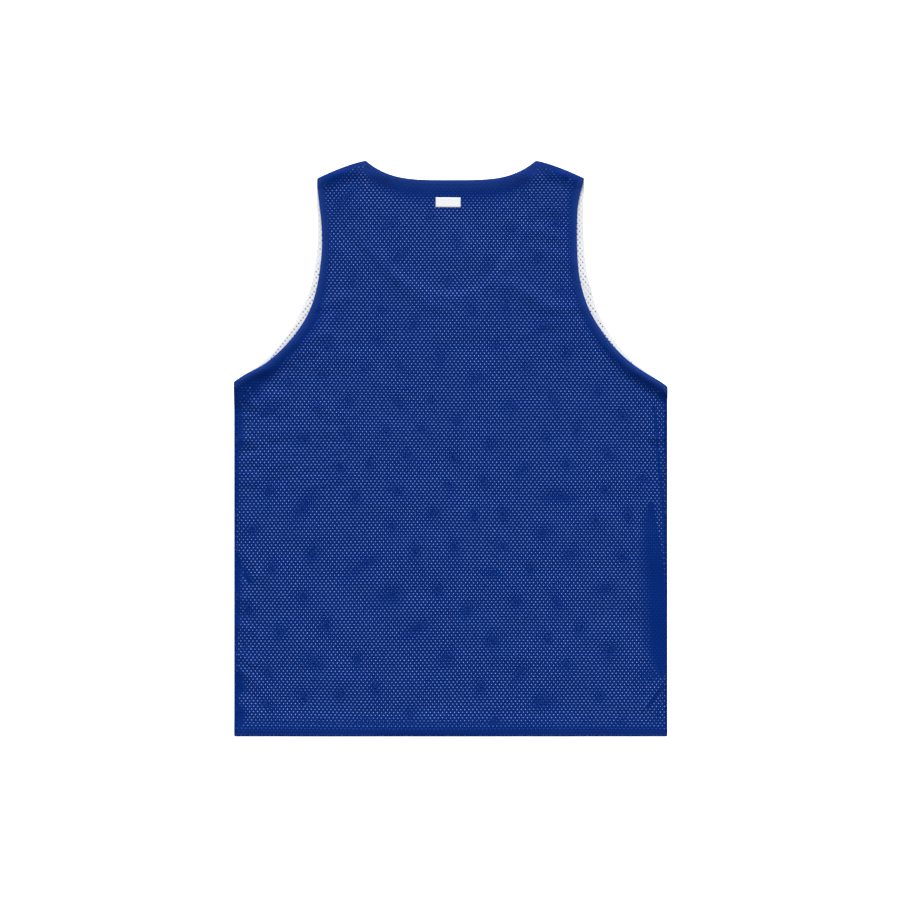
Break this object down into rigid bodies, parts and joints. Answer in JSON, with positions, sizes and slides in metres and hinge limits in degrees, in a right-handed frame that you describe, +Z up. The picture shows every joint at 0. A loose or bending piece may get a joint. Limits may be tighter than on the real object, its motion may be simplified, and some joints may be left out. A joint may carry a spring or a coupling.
{
  "type": "mesh pinnie",
  "caption": "Sleeveless reversible mesh training vest laid flat face down, with a shallow back neck, deep armholes, a straight hem and a bare neck label.",
  "frame": {"origin": "under the middle of the garment, on the surface it lies on", "axes": "+X across the chest, towards the right armhole as seen from above; +Y along the body from the hem to the neck; +Z up from the surface, out of the garment's back"},
  "size_m": [0.572, 0.76, 0.0088],
  "materials": {
    "blue_mesh": "royal blue knitted polyester mesh with small even holes, soft satin sheen",
    "white_mesh": "white knitted polyester mesh with small even holes, matt",
    "label_white": "white woven label, left bare"
  },
  "bodies": {
    "root": {"back_outer": "blue_mesh", "back_inner": "white_mesh", "front_inner": "white_mesh", "front_outer": "blue_mesh", "label": "label_white"}
  },
  "joints": []
}
